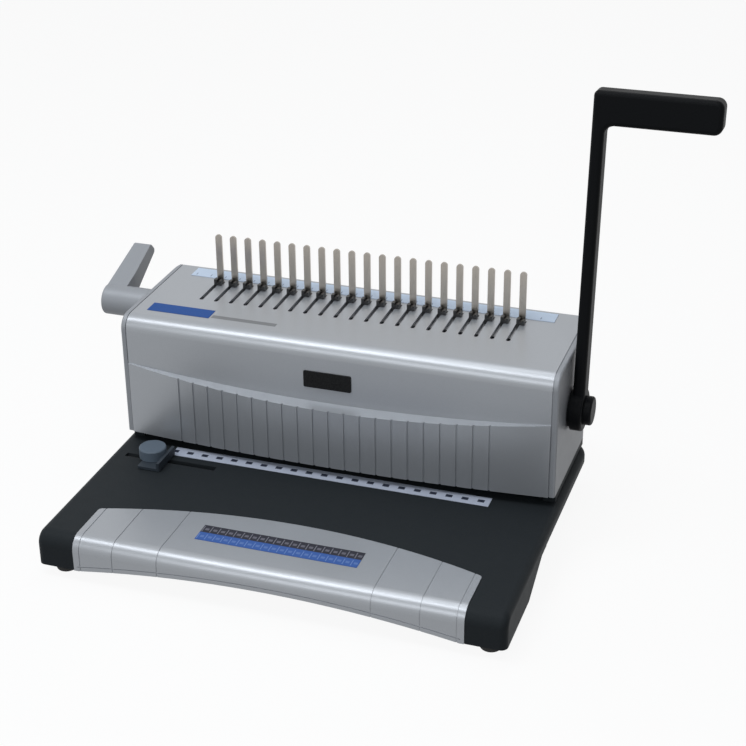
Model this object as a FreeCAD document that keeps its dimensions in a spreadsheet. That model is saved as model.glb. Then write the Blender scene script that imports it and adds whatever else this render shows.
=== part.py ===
"""A comb binding machine: punch, comb opener, edge guide and chip drawer on a table-top base.

Lengths are in millimetres. While the pieces are drawn, X = 0 is the machine's mid-plane, Y = 0 is the
row of binding fingers with the operator at -Y, and Z = 0 is the surface that the machine stands on.
"""
import FreeCAD, Part
import math
import os
import types

import Sketcher

DIMENSIONS = [
    ("finger_pitch", 14.2875, "spacing of the comb's rings, nine sixteenths of an inch"),
    ("finger_count", 21, "rings of a comb for an A4 sheet"),
    ("table_z", 41, "height of the paper table"),
    ("base_half", 203, "half width of the base"),
    ("base_front", 268, "front face of the base, towards the operator"),
    ("base_rear", 30, "rear face of the base"),
    ("skirt_z", 30, "lower edge of the side and rear skirts"),
    ("pod_z", 11, "lower edge of the front corners"),
    ("pod_back", 196, "where the front corners start to rise to the skirt"),
    ("arch_back", 152, "where the rise ends"),
    ("base_wall", 3.5, "wall of the base"),
    ("front_round", 12, "round of the base's front top edge"),
    ("side_round", 6, "round of the base's front corners and of its side and rear top edges"),
    ("rear_corner", 25, "upright corners of the base, rear"),
    ("well_half", 187, "half width of the opening under the mechanism"),
    ("well_front", 64.6, "front edge of that opening"),
    ("well_rear", 24, "rear edge of that opening"),
    ("plinth_front", 88, "front end of the plinths that carry the end caps"),
    ("slot_left", 189, "outer end of the edge guide's slot"),
    ("slot_right", 102, "inner end of the edge guide's slot"),
    ("slot_width", 6, "width of the edge guide's slot"),
    ("guide_y", 124, "distance of the edge guide's slot from the fingers"),
    ("foot_x", 186, "front feet from the mid-plane"),
    ("foot_y", 250, "front feet from the fingers"),
    ("rear_foot_x", 165, "rear feet from the mid-plane"),
    ("rear_foot_y", 4, "rear feet behind the fingers"),
    ("foot_r", 9, "radius of a foot"),
    ("trim_half", 169, "half width of the front trim"),
    ("trim_side", 217, "rear edge of the trim at its ends"),
    ("trim_bow", 27, "how far the trim's rear edge bows back in the middle"),
    ("trim_thick", 3, "wall of the trim"),
    ("trim_proud", 0.6, "how far the trim stands out of the base"),
    ("trim_arch", 13, "rise of the trim's lower edge in the middle"),
    ("pan_half", 181, "half width of the chassis pan"),
    ("pan_front", 112, "front end of the chassis pan"),
    ("pan_rear", 26, "rear end of the chassis pan"),
    ("sheet", 1.2, "sheet steel of the chassis pan"),
    ("cover_half", 193.5, "half width of the main cover"),
    ("cap_half", 199, "outer faces of the end caps"),
    ("cover_front", 97, "upper front face of the cover"),
    ("cover_rear", 29, "rear face of the cover"),
    ("rear_round", 1.6, "round of the cover's upper rear edge"),
    ("cover_top", 164.2, "top of the cover"),
    ("cover_z", 50.5, "lower edge of the cover, above the paper slot"),
    ("cover_wall", 2.5, "wall of the covers"),
    ("seam", 0.8, "width and depth of the groove between the cover and an end cap"),
    ("cover_round", 13, "round of the cover's front top edge"),
    ("apron_end", 1, "step of the lower front at its ends"),
    ("apron_bow", 9, "how far the lower front bows out in the middle"),
    ("ridge_end", 120, "height of the ridge at its ends"),
    ("ridge_sag", 11, "how far the ridge drops in the middle"),
    ("ledge_slope", 0.3, "fall of the ledge below the ridge, for each millimetre forwards"),
    ("frame_in", 172, "inner faces of the side frames"),
    ("frame_thick", 3, "thickness of the side frames"),
    ("punch_y", 48, "punch line and handle pivot, in front of the fingers"),
    ("punch_z", 112.5, "height of the handle pivot"),
    ("punch_r", 8, "radius of the punch shaft"),
    ("punch_travel", 11.5, "stroke of the punches"),
    ("handle_swing", 85, "swing of the punch handle, degrees"),
    ("handle_lean", 5.85, "lean of the handle at rest, degrees"),
    ("arm_in", 201.5, "inner face of the handle"),
    ("arm_thick", 10.5, "thickness of the handle's arm"),
    ("arm_deep", 20, "depth of the handle's arm and grip"),
    ("hub_r", 18.5, "radius of the handle's hub"),
    ("grip_mid", 262, "grip above the pivot, along the arm"),
    ("grip_tall", 28, "height of the grip's section"),
    ("grip_end", 305, "outer end of the grip"),
    ("lever_y", 32, "comb lever's axis in front of the fingers"),
    ("lever_z", 148, "height of the comb lever's axis"),
    ("lever_r", 5, "radius of the opener shaft"),
    ("boss_r", 14, "radius of the comb lever's boss"),
    ("lever_end", 244.5, "outer end of the comb lever"),
    ("gear_r", 10.5, "pitch radius of the opener pinions"),
    ("gear_teeth", 21, "teeth of an opener pinion"),
    ("gear_in", 156, "inner faces of the pinions and racks"),
    ("gear_wide", 8, "face width of the pinions and racks"),
    ("finger_wide", 6, "width of a finger"),
    ("finger_tip", 211.7, "top of the fingers"),
    ("finger_foot", 138, "lower end of the fingers"),
    ("rear_slack", 0.2, "gap between parts that slide on flat faces"),
    ("fit", 0.05, "radial clearance of shafts in their bearings"),
]


class Dim:
    """A size that carries its number and the formula that ties it to the sheet."""

    def __init__(self, value, formula):
        self.value = value
        self.formula = formula

    def __add__(self, other):
        return pair(self, "+", other)

    def __radd__(self, other):
        return pair(other, "+", self)

    def __sub__(self, other):
        return pair(self, "-", other)

    def __rsub__(self, other):
        return pair(other, "-", self)

    def __mul__(self, other):
        return pair(self, "*", other)

    def __rmul__(self, other):
        return pair(other, "*", self)

    def __truediv__(self, other):
        return pair(self, "/", other)

    def __neg__(self):
        return pair(0, "-", self)


RULES = {
    "+": lambda a, b: a + b,
    "-": lambda a, b: a - b,
    "*": lambda a, b: a * b,
    "/": lambda a, b: a / b,
}


def size(number):
    """Return a Dim, also for a plain number."""
    return number if isinstance(number, Dim) else Dim(number, "%.9g" % number)


def pair(left, sign, right):
    """Join two sizes by one arithmetic sign."""
    left = size(left)
    right = size(right)
    return Dim(RULES[sign](left.value, right.value), "(%s %s %s)" % (left.formula, sign, right.formula))


DOC = FreeCAD.newDocument("comb_binder")
SHEET = DOC.addObject("Spreadsheet::Sheet", "dims")


def fill_sheet():
    """Write the driving dimensions to the sheet and return them as named sizes."""
    named = {}
    for row, (alias, number, meaning) in enumerate(DIMENSIONS, start=1):
        SHEET.set("A%d" % row, meaning)
        SHEET.set("B%d" % row, str(number))
        SHEET.setAlias("B%d" % row, alias)
        named[alias] = Dim(number, "dims." + alias)
    DOC.recompute()
    return types.SimpleNamespace(**named)


S = fill_sheet()
SUB_PARTS = []
TURNED = {}
SIDES = {"left": -1, "right": 1}


# Building helpers

def bind(item, prop, number):
    """Tie a property to its formula."""
    item.setExpression(prop, size(number).formula)


def new_body(label):
    """Start a sub-part."""
    body = DOC.addObject("PartDesign::Body", label)
    body.Label = label
    body.AllowCompound = True
    SUB_PARTS.append(body)
    return body


def origin_feature(body, role):
    """Find one of a body's own planes or axes."""
    return next(item for item in body.Origin.OriginFeatures if item.Role == role)


def points(*pairs):
    """A closed outline of straight runs."""
    return [{"at": (size(x), size(y))} for x, y in pairs]


def bowed(outline, index, sag):
    """Bow the run that starts at a corner; sag is how far its middle moves, upwards where positive."""
    outline[index]["sag"] = size(sag)
    return outline


def box(x0, x1, y0, y1):
    """A rectangle between two pairs of lines."""
    return points((x0, y0), (x1, y0), (x1, y1), (x0, y1))


def circle(x, y, radius):
    """A full circle."""
    return {"centre": (size(x), size(y)), "radius": size(radius)}


def pin(sketch, geometry, end, place):
    """Fix a point of a sketch at its place."""
    for kind, number in zip(("DistanceX", "DistanceY"), place):
        index = sketch.addConstraint(Sketcher.Constraint(kind, -1, 1, geometry, end, number.value))
        sketch.setExpression("Constraints[%d]" % index, number.formula)


def draw_arc(sketch, start, end, sag):
    """Draw a bowed run and return its index and its two end numbers, first end first."""
    across = end[0] - start[0]
    rise = end[1] - start[1]
    radius = ((across * across + rise * rise) / 4 + sag * sag) / (2 * sag)
    first = FreeCAD.Vector(start[0].value, start[1].value, 0)
    last = FreeCAD.Vector(end[0].value, end[1].value, 0)
    square = FreeCAD.Vector(-rise.value, across.value, 0).normalize()
    upwards = 1 if across.value > 0 else -1
    middle = (first + last) * 0.5 + square * (upwards * sag.value)
    arc = Part.Arc(first, middle, last)
    index = sketch.addGeometry(arc, False)
    reach = Dim(abs(radius.value), "abs(%s)" % radius.formula)
    bend = sketch.addConstraint(Sketcher.Constraint("Radius", index, reach.value))
    sketch.setExpression("Constraints[%d]" % bend, reach.formula)
    starts_first = sketch.getPoint(index, 1).distanceToPoint(first) < 1e-6
    return (index, 1, 2) if starts_first else (index, 2, 1)


def draw_circle(sketch, centre, radius):
    """Draw a full circle with its centre and radius fixed."""
    middle = FreeCAD.Vector(centre[0].value, centre[1].value, 0)
    index = sketch.addGeometry(Part.Circle(middle, FreeCAD.Vector(0, 0, 1), radius.value), False)
    pin(sketch, index, 3, centre)
    bend = sketch.addConstraint(Sketcher.Constraint("Radius", index, radius.value))
    sketch.setExpression("Constraints[%d]" % bend, radius.formula)


def draw_loop(sketch, outline):
    """Draw one closed outline with every corner fixed."""
    if isinstance(outline, dict):
        draw_circle(sketch, outline["centre"], outline["radius"])
        return
    runs = []
    for corner, following in zip(outline, outline[1:] + outline[:1]):
        start = corner["at"]
        end = following["at"]
        if "sag" in corner:
            runs.append(draw_arc(sketch, start, end, corner["sag"]))
            continue
        first = FreeCAD.Vector(start[0].value, start[1].value, 0)
        last = FreeCAD.Vector(end[0].value, end[1].value, 0)
        runs.append((sketch.addGeometry(Part.LineSegment(first, last), False), 1, 2))
    for corner, run, earlier in zip(outline, runs, runs[-1:] + runs[:-1]):
        sketch.addConstraint(Sketcher.Constraint("Coincident", earlier[0], earlier[2], run[0], run[1]))
        pin(sketch, run[0], run[1], corner["at"])


def draw(body, plane, level, *loops):
    """Sketch closed outlines on a plane: XY at a height, XZ at a depth or YZ at a width."""
    sketch = body.newObject("Sketcher::SketchObject", "outline")
    sketch.AttachmentSupport = [(origin_feature(body, plane + "_Plane"), "")]
    sketch.MapMode = "FlatFace"
    bind(sketch, "AttachmentOffset.Base.z", -size(level) if plane == "XZ" else size(level))
    for outline in loops:
        draw_loop(sketch, outline)
    return sketch


def pad(body, plane, level, length, *loops):
    """Add material from a level towards the plane's positive side."""
    feature = body.newObject("PartDesign::Pad", "pad")
    feature.Profile = draw(body, plane, level, *loops)
    bind(feature, "Length", length)
    feature.Reversed = plane == "XZ"
    body.Tip = feature
    return feature


def pocket(body, plane, level, length, *loops, slant=None):
    """Take material away from a level towards the plane's positive side, or along a slanting line."""
    DOC.recompute()
    before = body.Shape.Volume
    feature = body.newObject("PartDesign::Pocket", "pocket")
    feature.Profile = draw(body, plane, level, *loops)
    bind(feature, "Length", length)
    feature.Reversed = plane != "XZ"
    if slant:
        feature.UseCustomVector = True
        for axis, number in zip("xyz", slant):
            bind(feature, "Direction." + axis, number)
    body.Tip = feature
    DOC.recompute()
    if body.Shape.Volume > before - 0.01:
        raise RuntimeError("a pocket of %s cuts nothing" % body.Label)
    return feature


def repeat(body, feature, axis, pitch, count):
    """Repeat a feature along one of the body's axes."""
    pattern = body.newObject("PartDesign::LinearPattern", "row")
    pattern.Originals = [feature]
    pattern.Direction = (origin_feature(body, axis + "_Axis"), [""])
    bind(pattern, "Length", size(pitch) * (size(count) - 1))
    bind(pattern, "Occurrences", count)
    body.Tip = pattern
    return pattern


def round_edges(body, radius, wanted):
    """Round the edges that a test picks out."""
    DOC.recompute()
    base = body.Tip
    names = ["Edge%d" % n for n, edge in enumerate(base.Shape.Edges, start=1) if wanted(edge)]
    if not names:
        raise RuntimeError("no edge to round on %s" % body.Label)
    feature = body.newObject("PartDesign::Fillet", "round")
    feature.Base = (base, names)
    bind(feature, "Radius", radius)
    body.Tip = feature
    DOC.recompute()
    if not feature.isValid() or feature.Shape.isNull():
        raise RuntimeError("a round of %s failed" % body.Label)
    return feature


def runs_along(axis, **places):
    """A test for straight edges along an axis that pass through given places, such as y=3."""
    direction = {"x": 0, "y": 1, "z": 2}

    def test(edge):
        ends = [vertex.Point for vertex in edge.Vertexes]
        if len(ends) != 2 or not isinstance(edge.Curve, Part.Line):
            return False
        along = ends[1] - ends[0]
        if abs(along[direction[axis]]) < 0.999 * along.Length:
            return False
        middle = (ends[0] + ends[1]) * 0.5
        return all(near(middle[direction[name]], wanted) for name, wanted in places.items())

    return test


def near(number, wanted):
    """Whether a coordinate is one of the wanted ones."""
    choices = wanted if isinstance(wanted, (list, tuple)) else [wanted]
    return any(abs(number - size(choice).value) < 0.01 for choice in choices)


def in_level(height):
    """A test for edges that lie flat at one height."""
    return lambda edge: all(near(vertex.Point.z, height) for vertex in edge.Vertexes)


def rim_at(x):
    """A test for round edges in one upright plane across the machine."""
    def test(edge):
        return isinstance(edge.Curve, Part.Circle) and near(edge.Curve.Center.x, x)

    return test


def first_finger():
    """The first finger's place, at the left end of the row."""
    return -S.finger_pitch * (S.finger_count - 1) / 2


def mirrored_span(side, inner, outer):
    """The lower end of a span that lies between two distances from the mid-plane, on one side."""
    return size(inner) if side > 0 else -size(outer)


# Base

def base_cover():
    """The black moulding: paper table, skirts, front corners and foot bosses."""
    body = new_body("base_cover")
    side = points((-S.base_front, S.pod_z), (-S.pod_back, S.pod_z), (-S.arch_back, S.skirt_z),
                  (S.base_rear, S.skirt_z), (S.base_rear, S.table_z), (-S.base_front, S.table_z))
    pad(body, "YZ", -S.base_half, 2 * S.base_half, side)
    round_edges(body, S.rear_corner, runs_along("z", y=S.base_rear))
    round_edges(body, S.front_round, runs_along("x", y=-S.base_front, z=S.table_z))
    round_edges(body, S.side_round, runs_along("z", y=-S.base_front))
    base_hollow(body)
    base_openings(body)
    base_trim_seat(body)
    base_bosses(body)


def base_hollow(body):
    """Hollow the base from below, with a thicker roof under the trim."""
    inner = S.base_half - S.base_wall
    roof = S.table_z - S.base_wall
    seat_roof = roof - S.trim_thick
    seat_end = -S.trim_side + S.trim_bow + 4
    deep = points((-S.base_front + 8, 0), (4, 0), (4, roof), (seat_end, roof),
                  (seat_end, seat_roof), (-S.base_front + 8, seat_roof))
    pocket(body, "YZ", -inner, 2 * inner, deep)
    rear_half = S.base_half - S.rear_corner + 5
    pocket(body, "YZ", -rear_half, 2 * rear_half, box(4, S.base_rear - S.base_wall, 0, roof))


def base_openings(body):
    """Cut the well under the mechanism and the edge guide's slot through the table."""
    below = S.table_z - 8
    pocket(body, "XY", below, 12, box(-S.well_half, S.well_half, -S.well_front, S.well_rear))
    half = S.slot_width / 2
    pocket(body, "XY", below, 12, box(-S.slot_left, -S.slot_right, -S.guide_y - half, -S.guide_y + half))


def base_trim_seat(body):
    """Sink a seat for the front trim and open the front wall behind it."""
    gap = 0.25
    seat_z = S.table_z + S.trim_proud - S.trim_thick
    seat_y = -S.base_front - S.trim_proud + S.trim_thick + gap
    half = S.trim_half + gap
    bend = S.front_round - 1
    corner = points((-S.trim_side, seat_z), (seat_y + bend, seat_z), (seat_y, seat_z - bend), (seat_y, 0),
                    (-S.base_front - 5, 0), (-S.base_front - 5, S.table_z + 5), (-S.trim_side, S.table_z + 5))
    pocket(body, "YZ", -half, 2 * half, corner)
    bow = points((-half, -S.trim_side - 1), (half, -S.trim_side - 1), (half, -S.trim_side + gap),
                 (-half, -S.trim_side + gap))
    pocket(body, "XY", seat_z, 10, bowed(bow, 2, S.trim_bow))
    round_edges(body, 4, runs_along("z", x=[-half, half], y=-S.trim_side + gap))
    open_half = S.trim_half - 4
    pocket(body, "XZ", -S.base_front - 5, 16, box(-open_half, open_half, 0, seat_z - 4))


def base_bosses(body):
    """Stand the bosses of the front feet."""
    bosses = [circle(side * S.foot_x, -S.foot_y, S.foot_r + 1.5) for side in SIDES.values()]
    pad(body, "XY", S.pod_z, S.table_z - S.pod_z - 4, *bosses)


def cover_plinths():
    """The two blocks on the table that carry the end caps and keep the paper slot open."""
    body = new_body("cover_plinths")
    wide = S.cap_half - S.well_half - 1.5
    lows = [mirrored_span(side, S.well_half + 0.5, S.cap_half - 1) for side in SIDES.values()]
    blocks = [box(low, low + wide, -S.plinth_front, S.base_rear - 10) for low in lows]
    pad(body, "XY", S.table_z, S.cover_z - S.table_z, *blocks)


def trim_profile():
    """The trim's L-shaped section, before its corner is rounded."""
    top = S.table_z + S.trim_proud
    front = -S.base_front - S.trim_proud
    return points((front, S.pod_z), (front, top), (-S.trim_side, top), (-S.trim_side, top - S.trim_thick),
                  (front + S.trim_thick, top - S.trim_thick), (front + S.trim_thick, S.pod_z))


def front_trim():
    """The silver moulding over the front edge, with a bowed rear edge and an arched lower edge."""
    body = new_body("front_trim")
    top = S.table_z + S.trim_proud
    front = -S.base_front - S.trim_proud
    pad(body, "YZ", -S.trim_half, 2 * S.trim_half, trim_profile())
    bow = points((-S.trim_half, -S.trim_side - 1), (S.trim_half, -S.trim_side - 1),
                 (S.trim_half, -S.trim_side), (-S.trim_half, -S.trim_side))
    pad(body, "XY", top - S.trim_thick, S.trim_thick, bowed(bow, 2, S.trim_bow))
    round_edges(body, S.front_round + S.trim_proud, runs_along("x", y=front, z=top))
    inner = runs_along("x", y=front + S.trim_thick, z=top - S.trim_thick)
    round_edges(body, S.front_round + S.trim_proud - S.trim_thick, inner)
    round_edges(body, 4, runs_along("z", x=[-S.trim_half, S.trim_half], y=-S.trim_side))
    arch = points((-S.trim_half + 4, S.pod_z - 1), (S.trim_half - 4, S.pod_z - 1),
                  (S.trim_half - 4, S.pod_z), (-S.trim_half + 4, S.pod_z))
    pocket(body, "XZ", front - 1, S.trim_thick + 2, bowed(arch, 2, S.trim_arch))
    trim_grooves(body, front, top)


def trim_grooves(body, front, top):
    """Score the shallow lines across the trim's top and front, and the line along its lower edge."""
    depth = 0.5
    half = S.trim_half - 3
    low = S.pod_z + 3.6
    lip = points((-half, low), (half, low), (half, low + 0.7), (-half, low + 0.7))
    bowed(lip, 0, S.trim_arch)
    bowed(lip, 2, S.trim_arch)
    pocket(body, "XZ", front - 1, depth + 1, lip)
    bend = S.front_round + S.trim_proud
    rear = -S.trim_side + S.trim_bow
    line = points((rear, top - depth), (front + bend, top - depth), (front + depth, top - bend),
                  (front + depth, 0), (front - 1, 0), (front - 1, top + 1), (rear, top + 1))
    bowed(line, 1, (bend - depth) * (1 - math.cos(math.pi / 4)))
    for x in (-163, -133, -92.5, 92.5, 133, 163):
        pocket(body, "YZ", x - 0.5, 1, line)


def plate(label, plane, level, thick, outline):
    """A thin flat piece of one outline."""
    body = new_body(label)
    pad(body, plane, level, thick, outline)
    return body


def labels():
    """The printed strips and plates, all bare."""
    plate("trim_label", "XY", S.table_z + S.trim_proud, 0.3, box(-72, 70, -236.5, -214))
    plate("scale_strip", "XY", S.table_z, 0.4, box(-150, 145.3, -112.6, -98.5))
    plate("blue_label", "XY", S.cover_top, 0.3, box(-182, -122.5, -76, -60))
    plate("comb_size_strip", "XY", S.cover_top, 0.5, box(-176, 170, 7, 24))
    name_plate = plate("name_plate", "XZ", -S.cover_front - 1, 1, box(-25.7, 17.8, 122.6, 138.1))
    round_edges(name_plate, 1.2, runs_along("y"))


def chassis_pan():
    """The sheet-steel tray, open at the rear for the drawer, with flanges, ears and a shelf."""
    body = new_body("chassis_pan")
    top = S.table_z - S.base_wall
    pad(body, "XY", S.pod_z, top - S.pod_z, box(-S.pan_half, S.pan_half, -S.pan_front, S.pan_rear))
    inner = S.pan_half - S.sheet
    pocket(body, "XY", S.pod_z + S.sheet, 40, box(-inner, inner, -S.pan_front + S.sheet, S.pan_rear + 5))
    flanges = []
    for side in SIDES.values():
        low = mirrored_span(side, S.pan_half - 1, S.pan_half + 11)
        flanges.append(box(low, low + 12, -S.pan_front, 0))
    pad(body, "XY", top - S.sheet, S.sheet, *flanges)
    reach = S.pan_half + 16
    ears = box(-reach, reach, -S.pan_front, -S.pan_front + S.sheet)
    pad(body, "XY", S.pod_z, top - S.pod_z, ears)
    shelf = box(-reach, reach, -S.pod_back + 6, -S.pan_front + 1)
    pad(body, "XY", S.pod_z, S.sheet, shelf)


def foot_places():
    """Centres of the four feet."""
    front = [(side * S.foot_x, -S.foot_y) for side in SIDES.values()]
    rear = [(side * S.rear_foot_x, S.rear_foot_y) for side in SIDES.values()]
    return front + rear


def rubber_feet():
    """Four feet with a recess for their screws."""
    body = new_body("rubber_feet")
    pad(body, "XY", 0, S.pod_z, *[circle(x, y, S.foot_r) for x, y in foot_places()])
    round_edges(body, 1.5, in_level(0))
    pocket(body, "XY", 0, 5, *[circle(x, y, 4.2) for x, y in foot_places()])
    pocket(body, "XY", 0, S.pod_z, *[circle(x, y, 1.6) for x, y in foot_places()])


def add_screws(body, places, head_z, head_r, shank_r, shank_top):
    """Add upright screws with their heads below."""
    neck = head_z + 2
    pad(body, "XY", head_z, 2, *[circle(x, y, head_r) for x, y in places])
    pad(body, "XY", neck, shank_top - neck, *[circle(x, y, shank_r) for x, y in places])


def base_fasteners():
    """Screws of the feet, of the table and of the side frames."""
    feet = new_body("foot_screws")
    places = foot_places()
    add_screws(feet, places[:2], size(3), 3.8, 1.5, S.pod_z + 8)
    add_screws(feet, places[2:], size(3), 3.8, 1.5, S.pod_z + S.sheet)
    table = new_body("base_screws")
    flange = S.pan_half + 9
    places = [(side * flange, y) for side in SIDES.values() for y in (-80, -40, -5)]
    add_screws(table, places, S.table_z - S.base_wall - S.sheet - 2, 3, 1.4, S.cover_z - 3)
    screws = new_body("frame_screws")
    flange = S.frame_in + S.frame_thick + 2.3
    places = [(side * flange, y) for side in SIDES.values() for y in (-52, 7)]
    floor = S.pod_z + S.sheet + 2
    pad(screws, "XY", floor, 1.8, *[circle(x, y, 2) for x, y in places])
    pad(screws, "XY", S.pod_z, floor - S.pod_z, *[circle(x, y, 1) for x, y in places])


# Housing

def main_cover():
    """The silver wrap-round cover: front, top and rear lip, with the bowed lower front."""
    body = new_body("main_cover")
    lip = S.cover_top - 14.4
    inner_top = S.cover_top - S.cover_wall
    inner_front = -S.cover_front + S.cover_wall
    inner_rear = S.cover_rear - S.cover_wall
    section = points((-S.cover_front, S.cover_z), (-S.cover_front, S.cover_top), (S.cover_rear, S.cover_top),
                     (S.cover_rear, lip), (inner_rear, lip), (inner_rear, inner_top),
                     (inner_front, inner_top), (inner_front, S.cover_z))
    pad(body, "YZ", -S.cover_half, 2 * S.cover_half, section)
    round_edges(body, S.cover_round, runs_along("x", y=-S.cover_front, z=S.cover_top))
    round_edges(body, S.cover_round - S.cover_wall, runs_along("x", y=inner_front, z=inner_top))
    round_edges(body, S.rear_round, runs_along("x", y=S.cover_rear, z=S.cover_top))
    cover_apron(body)
    cover_flutes(body)
    cover_slots(body)


def cover_apron(body):
    """Bow out the lower front, drop its top edge to the ridge, and hollow it."""
    step = -S.cover_front - S.apron_end
    bow = points((-S.cover_half, -S.cover_front + 1), (-S.cover_half, step), (S.cover_half, step),
                 (S.cover_half, -S.cover_front + 1))
    pad(body, "XY", S.cover_z, S.ridge_end - S.cover_z + 2, bowed(bow, 1, -S.apron_bow))
    above = points((-S.cover_half, S.ridge_end), (S.cover_half, S.ridge_end),
                   (S.cover_half, S.ridge_end + 12), (-S.cover_half, S.ridge_end + 12))
    reach = S.apron_end + S.apron_bow + 2
    forwards = (0, -1, -S.ledge_slope)
    pocket(body, "XZ", -S.cover_front, reach, bowed(above, 0, -S.ridge_sag), slant=forwards)
    inner_half = S.cover_half - 13.5
    inner = -S.cover_front + 0.3
    hollow = points((-inner_half, -S.cover_front + 4), (-inner_half, inner), (inner_half, inner),
                    (inner_half, -S.cover_front + 4))
    tall = S.ridge_end - S.ridge_sag - S.cover_z - S.cover_wall - 3
    pocket(body, "XY", S.cover_z, tall, bowed(hollow, 1, -S.apron_bow + 1.2))


def cover_flutes(body):
    """Score one upright flute in line with each finger, following the bow."""
    wide = 1.8
    deep = 1.0
    flutes = []
    for number in range(int(S.finger_count.value)):
        x = first_finger() + number * S.finger_pitch
        share = x / S.cover_half
        face = -S.cover_front - S.apron_end - S.apron_bow * (1 - share * share)
        flutes.append(box(x - wide / 2, x + wide / 2, face - 3, face + deep))
    pocket(body, "XY", S.cover_z, S.ridge_end - S.cover_z, *flutes)


def cover_slots(body):
    """Cut the opening of each finger and the slot that its hook runs in."""
    x = first_finger()
    left = x - 4.2
    right = x - 0.6
    opening = points((right, -39.7), (right, -2.5), (x + 3.6, -2.5), (x + 3.6, 2.2),
                     (left, 2.2), (left, -39.7))
    cut = pocket(body, "XY", S.cover_top - 5, 10, bowed(opening, 5, -1.4))
    repeat(body, cut, "X", S.finger_pitch, S.finger_count)


def end_cap(name):
    """One end of the housing: a spigot against the cover, a rounded plate and a hole for its shaft."""
    side = SIDES[name]
    body = new_body(name + "_end_cap")
    inner = side * (S.cover_half + S.seam)
    outer = side * S.cap_half
    spigot = box(-S.cover_front + S.seam, S.cover_rear - S.seam, S.cover_z, S.cover_top - S.seam)
    pad(body, "YZ", mirrored_span(side, S.cover_half, S.cover_half + S.seam + 1), S.seam + 1, spigot)
    front_corner = runs_along("x", y=-S.cover_front + S.seam, z=S.cover_top - S.seam)
    round_edges(body, S.cover_round - S.seam, front_corner)
    round_edges(body, S.rear_round - S.seam, runs_along("x", y=S.cover_rear - S.seam, z=S.cover_top - S.seam))
    plan = points((inner, -S.cover_front), (outer, -S.cover_front), (outer, S.cover_rear - 14),
                  (outer - side * 3, S.cover_rear), (inner, S.cover_rear))
    pad(body, "XY", S.cover_z, S.cover_top - S.cover_z, plan)
    round_edges(body, S.cover_round, runs_along("x", y=-S.cover_front, z=S.cover_top))
    round_edges(body, S.rear_round, runs_along("x", y=S.cover_rear, z=S.cover_top))
    round_edges(body, 2, lambda edge: all(near(v.Point.x, outer) for v in edge.Vertexes) and not near(
        edge.CenterOfMass.z, S.cover_z))
    if name == "right":
        hole = circle(-S.punch_y, S.punch_z, S.punch_r + 1)
    else:
        hole = circle(-S.lever_y, S.lever_z, S.lever_r + 1)
    pocket(body, "YZ", mirrored_span(side, S.cover_half - 1, S.cap_half + 1), 9, hole)


def rear_cover():
    """The flat back panel and its four screws."""
    body = new_body("rear_cover")
    half = S.cover_half - 0.2
    lip = S.cover_top - 14.7
    pad(body, "XZ", S.cover_rear - S.cover_wall, S.cover_wall, box(-half, half, S.table_z, lip))
    screws = new_body("rear_screws")
    places = [(side * (S.frame_in - 6), z) for side in SIDES.values() for z in (70, 130)]
    pad(screws, "XZ", S.cover_rear, 1.6, *[circle(x, z, 3) for x, z in places])
    pad(screws, "XZ", S.cover_rear - 8, 8, *[circle(x, z, 1.5) for x, z in places])


# Frames and die set

def side_frame(name):
    """A steel side plate with its foot, its rear tab, the bearing holes and the punch bar's slot."""
    side = SIDES[name]
    body = new_body(name + "_side_frame")
    floor = S.pod_z + S.sheet
    low = mirrored_span(side, S.frame_in, S.frame_in + S.frame_thick)
    rear = S.cover_rear - S.cover_wall
    leg = S.well_front - 0.6
    outline = points((-leg, floor), (S.well_rear - 0.5, floor), (S.well_rear - 0.5, 55), (rear, 55),
                     (rear, 155), (-78, 155), (-78, 55), (-leg, 55))
    pad(body, "YZ", low, S.frame_thick, outline)
    foot = mirrored_span(side, S.frame_in + S.frame_thick - 1, S.pan_half - S.sheet - 0.3)
    wide = S.pan_half - S.sheet - 0.3 - S.frame_in - S.frame_thick + 1
    pad(body, "XY", floor, 2, box(foot, foot + wide, -60, 15))
    tab = mirrored_span(side, S.frame_in - 12, S.frame_in + 1)
    pad(body, "XZ", rear - 3, 3, box(tab, tab + 13, 60, 140))
    pocket(body, "YZ", low - 1, S.frame_thick + 2, circle(-S.punch_y, S.punch_z, S.punch_r + 3 + S.fit),
           circle(-S.lever_y, S.lever_z, S.lever_r + 3 + S.fit))
    tongue = box(-S.punch_y - 8.2, -S.punch_y + 8.2, 72, 101)
    pocket(body, "YZ", low - 1, S.frame_thick + 2, tongue)


def bush_pair(label, y, z, bore, wall):
    """Two flanged bearings, one in each side frame."""
    body = new_body(label)
    inside = bore + S.fit
    for side in SIDES.values():
        low = mirrored_span(side, S.frame_in, S.frame_in + S.frame_thick)
        pad(body, "YZ", low, S.frame_thick, circle(y, z, bore + wall), circle(y, z, inside))
        flange = mirrored_span(side, S.frame_in + S.frame_thick, S.frame_in + S.frame_thick + 2)
        pad(body, "YZ", flange, 2, circle(y, z, bore + wall + 2.5), circle(y, z, inside))


def punch_holes(wide, deep):
    """The outline of the first punch or of its hole, at the left end of the row."""
    x = first_finger()
    return box(x - wide / 2, x + wide / 2, -S.punch_y - deep / 2, -S.punch_y + deep / 2)


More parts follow.
